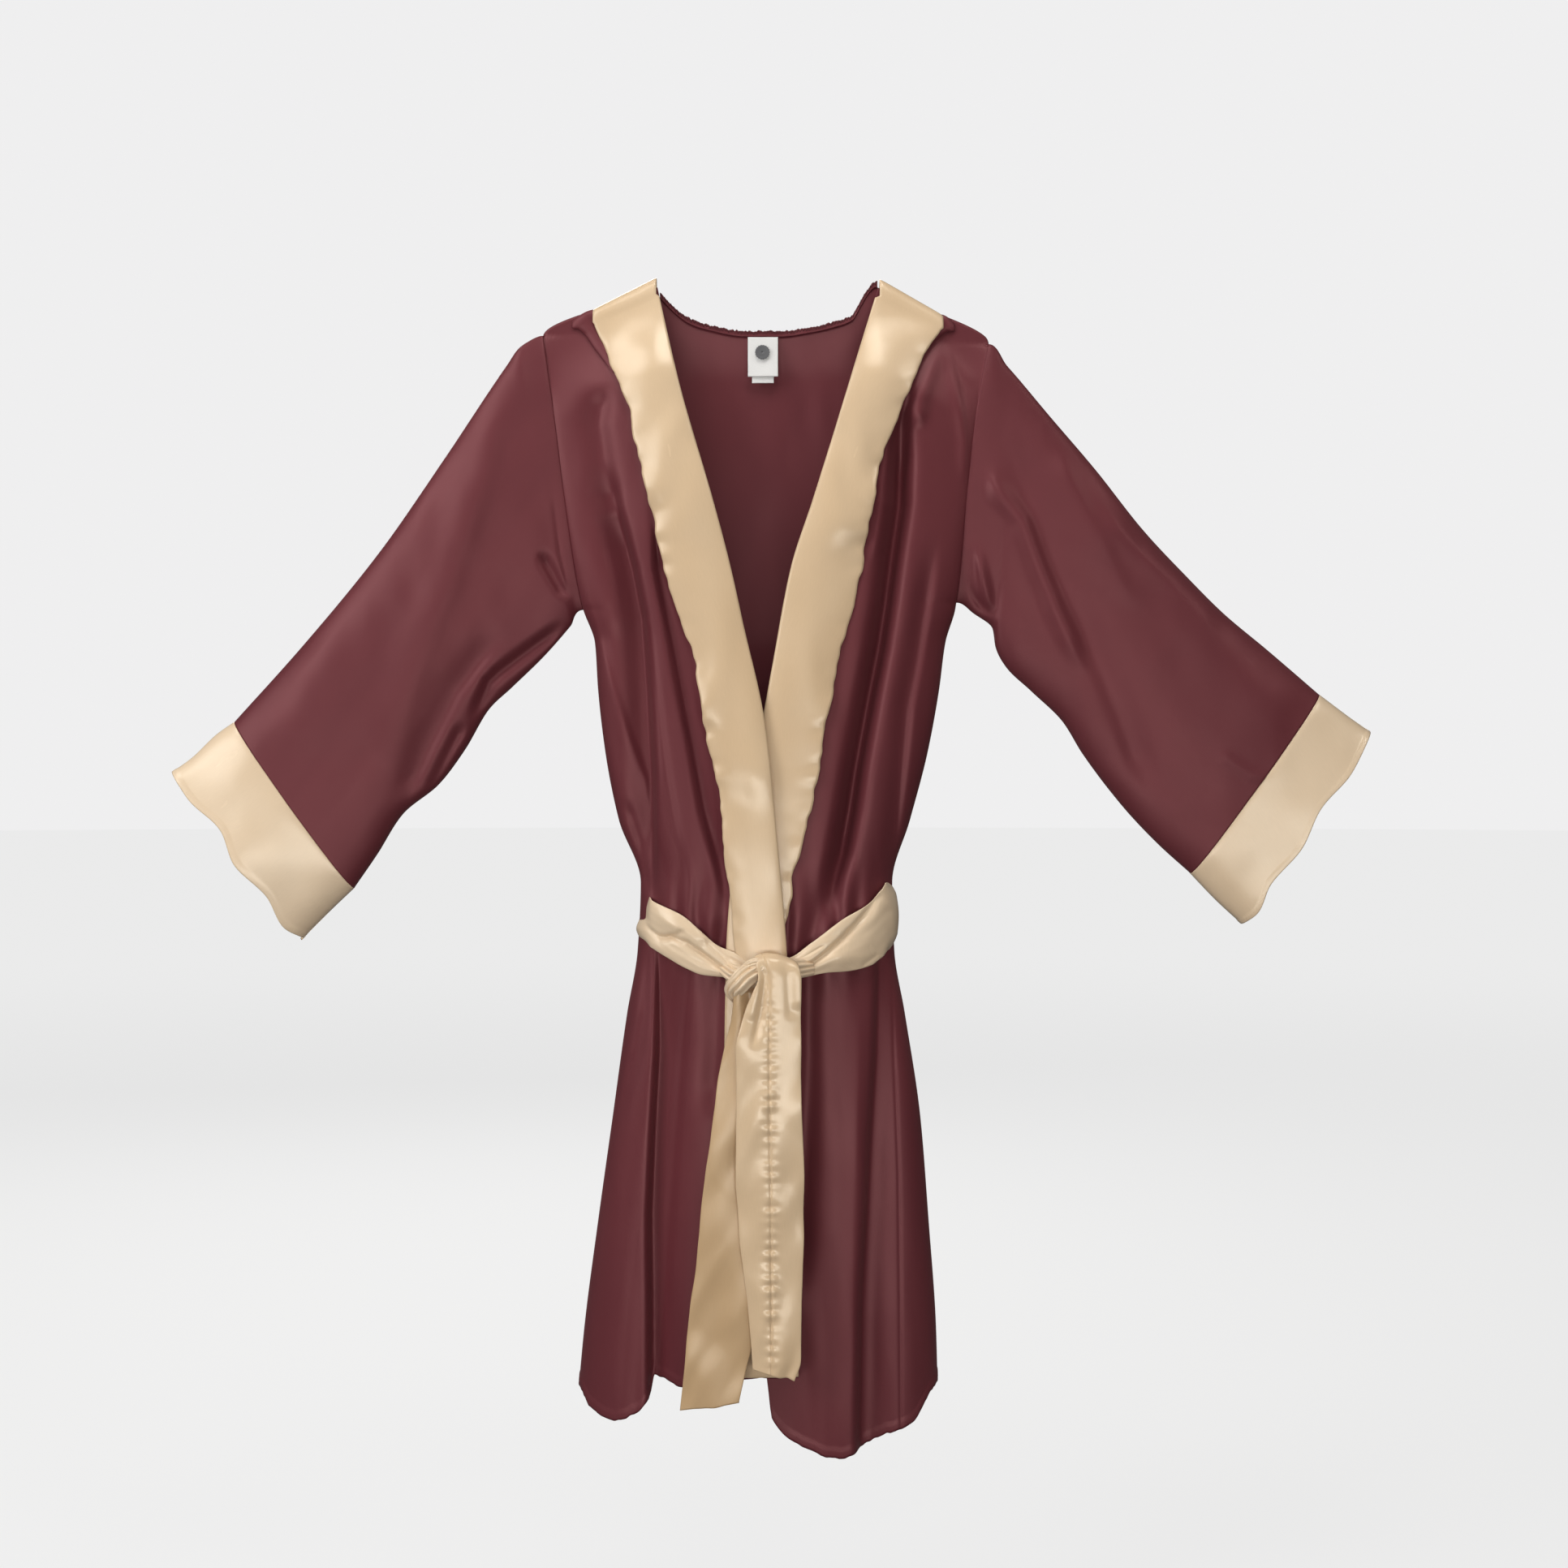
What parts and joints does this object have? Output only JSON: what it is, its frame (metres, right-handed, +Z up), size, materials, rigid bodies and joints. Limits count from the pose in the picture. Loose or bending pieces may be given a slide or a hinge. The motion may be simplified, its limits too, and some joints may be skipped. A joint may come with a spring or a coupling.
{
  "type": "hooded boxing robe",
  "caption": "Hooded satin boxing robe, wrapped and tied at the waist with a belt, with wide contrast bands down the front, on the cuffs and round the hood.",
  "frame": {"origin": "midway between the neck ends of the two shoulder seams, where a hanger or the wearer's shoulders carry the robe", "axes": "+Z up the robe, the front faces -Y, +X towards the wearer's left"},
  "size_m": [1.1497, 0.1738, 1.1104],
  "materials": {
    "burgundy_satin": "polyester satin with a soft directional sheen",
    "gold_satin": "pale gold polyester satin, bright where folds catch the light",
    "label_tape": "woven white label tape"
  },
  "bodies": {
    "robe": {"back_panel": "burgundy_satin", "right_front_panel": "burgundy_satin", "left_front_panel": "burgundy_satin", "right_front_band": "gold_satin", "left_front_band": "gold_satin", "neck_seam_tape": "burgundy_satin", "hood_roll_right": "burgundy_satin", "hood_roll_left": "burgundy_satin", "belt_wrap": "gold_satin", "belt_knot": "gold_satin"},
    "right_arm": {"right_sleeve": "burgundy_satin", "right_cuff": "gold_satin"},
    "left_arm": {"left_sleeve": "burgundy_satin", "left_cuff": "gold_satin"},
    "hood": {"hood_right_half": "burgundy_satin", "hood_left_half": "burgundy_satin", "hood_band": "gold_satin"},
    "front_tail": {"belt_tail_front": "gold_satin"},
    "rear_tail": {"belt_tail_rear": "gold_satin"},
    "label": {"neck_label": "label_tape", "size_label": "label_tape"}
  },
  "joints": [
    {"name": "right_sleeve_raise", "type": "hinge", "parent": "robe", "child": "right_arm", "pos_m": [-0.211, 0, -0.05], "axis": [0, 1, 0], "range_deg": [0, 40]},
    {"name": "left_sleeve_raise", "type": "hinge", "parent": "robe", "child": "left_arm", "pos_m": [0.218, 0, -0.058], "axis": [0, -1, 0], "range_deg": [0, 40]},
    {"name": "hood_raise", "type": "hinge", "parent": "robe", "child": "hood", "pos_m": [0, 0.02, -0.025], "axis": [1, 0, 0], "range_deg": [0, 165]},
    {"name": "belt_tail_front_lift", "type": "hinge", "parent": "robe", "child": "front_tail", "pos_m": [0, -0.085, -0.664], "axis": [-1, 0, 0], "range_deg": [0, 80]},
    {"name": "belt_tail_rear_swing", "type": "hinge", "parent": "robe", "child": "rear_tail", "pos_m": [-0.01, -0.084, -0.69], "axis": [0, 1, 0], "range_deg": [0, 45]},
    {"name": "neck_label_flip", "type": "hinge", "parent": "robe", "child": "label", "pos_m": [0, 0.006, -0.05], "axis": [-1, 0, 0], "range_deg": [0, 120]}
  ]
}
